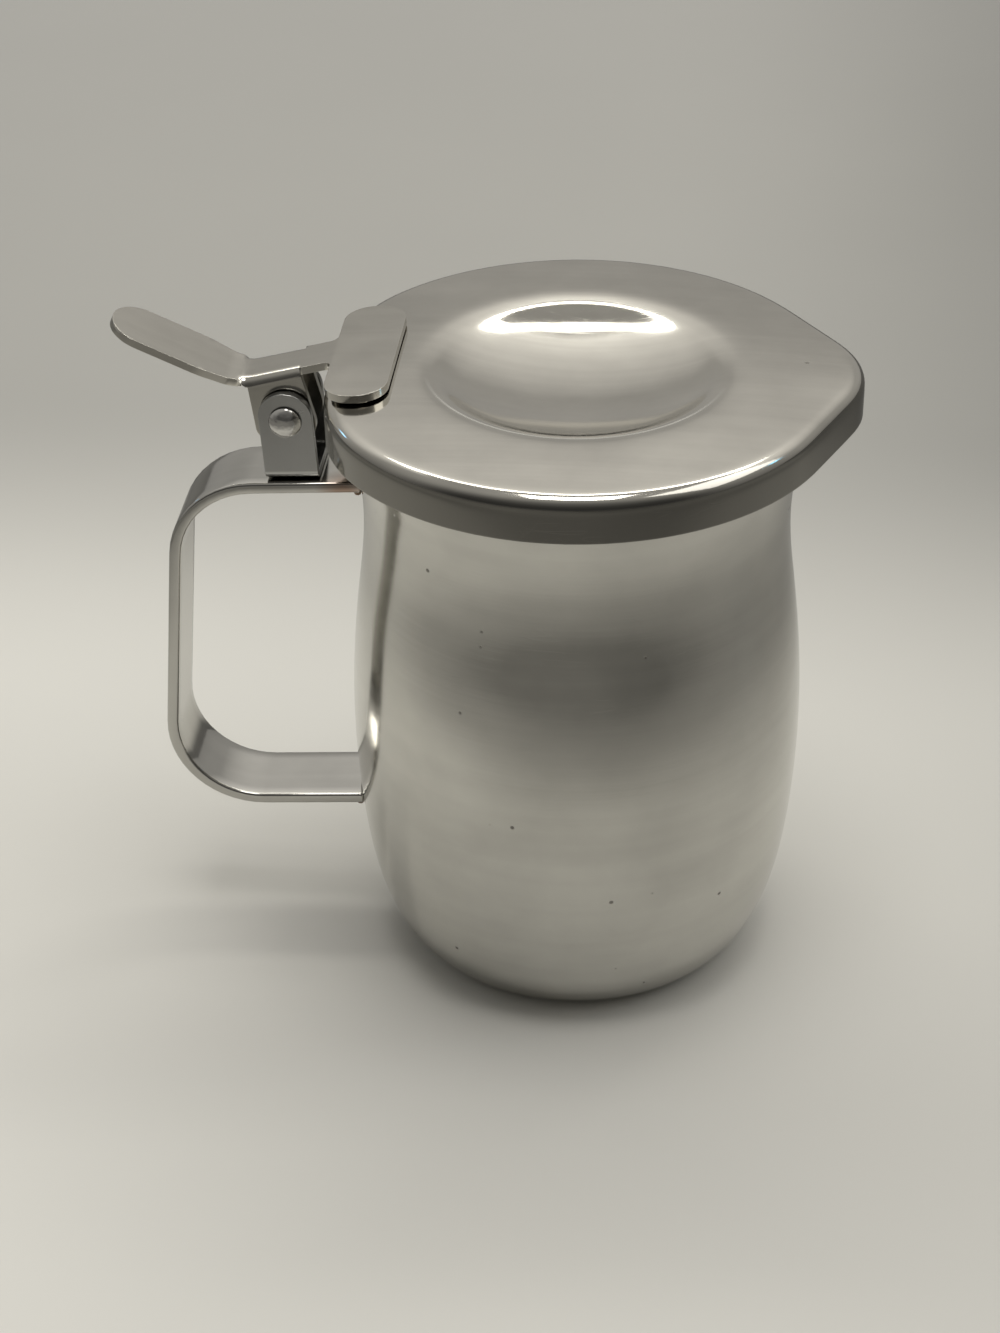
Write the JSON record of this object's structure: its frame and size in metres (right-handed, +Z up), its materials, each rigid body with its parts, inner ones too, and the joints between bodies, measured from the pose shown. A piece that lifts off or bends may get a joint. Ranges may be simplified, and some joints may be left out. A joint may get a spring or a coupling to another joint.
{
  "type": "syrup dispenser",
  "caption": "Small drawn steel jug with a pinched pouring lip, a welded strap handle and a dished lid that a thumb lever lifts on a riveted hinge.",
  "frame": {"origin": "centre of the jug's flat underside, which stands on the table", "axes": "-X towards the handle, which is symmetric about the XZ plane, +X towards the pouring lip, which is turned 5.8 degrees towards +Y, +Z up"},
  "size_m": [0.1102, 0.0768, 0.1051],
  "materials": {
    "jug_steel": "polished, with fine scratches and pits",
    "handle_steel": "semi-polished, brighter edges",
    "weld_metal": "rough bead with brown heat tint",
    "bracket_steel": "satin, brushed upright",
    "pin_steel": "bright, lightly dented dome",
    "lid_steel": "satin brushed top, polished skirt",
    "lever_steel": "satin brushed, bright cut edges"
  },
  "bodies": {
    "jug_body": {"jug": "jug_steel", "handle": "handle_steel", "upper_weld": "weld_metal", "lower_weld": "weld_metal", "hinge_bracket": "bracket_steel", "hinge_pin": "pin_steel"},
    "lid_body": {"lid": "lid_steel", "lever": "lever_steel"}
  },
  "joints": [
    {"name": "lid_hinge", "type": "hinge", "parent": "jug_body", "child": "lid_body", "pos_m": [-0.04246, 0, 0.09108], "axis": [0, -1, 0], "range_deg": [0, 68]}
  ]
}
